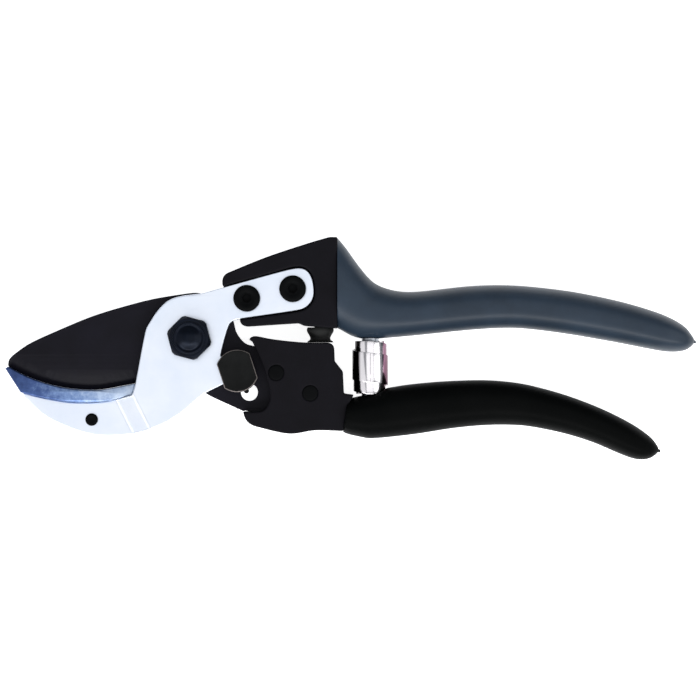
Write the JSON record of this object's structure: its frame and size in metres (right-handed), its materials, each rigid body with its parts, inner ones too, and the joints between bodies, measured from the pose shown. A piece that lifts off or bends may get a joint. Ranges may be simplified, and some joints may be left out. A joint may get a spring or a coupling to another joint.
{
  "type": "pruning shears",
  "caption": "Anvil pruning shears: curved blade, soft anvil on a cranked jaw plate, forged heads, sleeved grips, volute spring and turning latch.",
  "frame": {"origin": "on the pivot axis, level with the surface that the closed shears lie on", "axes": "+X from the pivot towards the ends of the handles, +Y from the lower handle to the upper handle, +Z along the pivot axis towards the bolt's head"},
  "size_m": [0.2096, 0.0679, 0.0194],
  "materials": {
    "blade_coating": "black low-friction coating on steel",
    "nickel_plate": "satin nickel-plated steel",
    "anvil_alloy": "bright soft alloy with a blue cast",
    "blackened_steel": "black oxide",
    "latch_steel": "dark grey phosphate",
    "bare_steel": "zinc-plated",
    "bronze": "sintered bronze",
    "coated_forging": "black coating on forged alloy",
    "grey_grip": "slate grey dipped vinyl",
    "black_grip": "black dipped vinyl",
    "buffer_rubber": "black rubber",
    "spring_chrome": "polished chrome"
  },
  "bodies": {
    "upper_body": {"upper_handle": "coated_forging", "upper_grip": "grey_grip", "jaw_plate": "nickel_plate", "anvil": "anvil_alloy", "anvil_screw": "blackened_steel", "pivot_bolt": "blackened_steel", "thrust_washer": "bare_steel", "pivot_nut": "blackened_steel", "jaw_screw_front": "blackened_steel", "jaw_screw_rear": "blackened_steel", "jaw_nut_front": "blackened_steel", "jaw_nut_rear": "blackened_steel", "stop_buffer": "buffer_rubber", "volute_spring": "spring_chrome", "upper_spring_peg": "bare_steel"},
    "lower_body": {"lower_handle": "coated_forging", "lower_grip": "black_grip", "blade": "blade_coating", "pivot_bush": "bronze", "blade_pin_front": "blackened_steel", "blade_pin_rear": "blackened_steel", "lower_spring_peg": "bare_steel"},
    "latch_body": {"latch_button": "latch_steel", "latch_wave_washer": "bare_steel", "latch_retainer": "latch_steel"}
  },
  "joints": [
    {"name": "blade_pivot", "type": "hinge", "parent": "upper_body", "child": "lower_body", "pos_m": [0, 0, 0.008], "axis": [0, 0, -1], "range_deg": [0, 32], "deforming": ["volute_spring"]},
    {"name": "latch_turn", "type": "hinge", "parent": "lower_body", "child": "latch_body", "pos_m": [0.01745, -0.0113, 0.008], "axis": [0, 0, 1], "range_deg": [0, 70]}
  ]
}
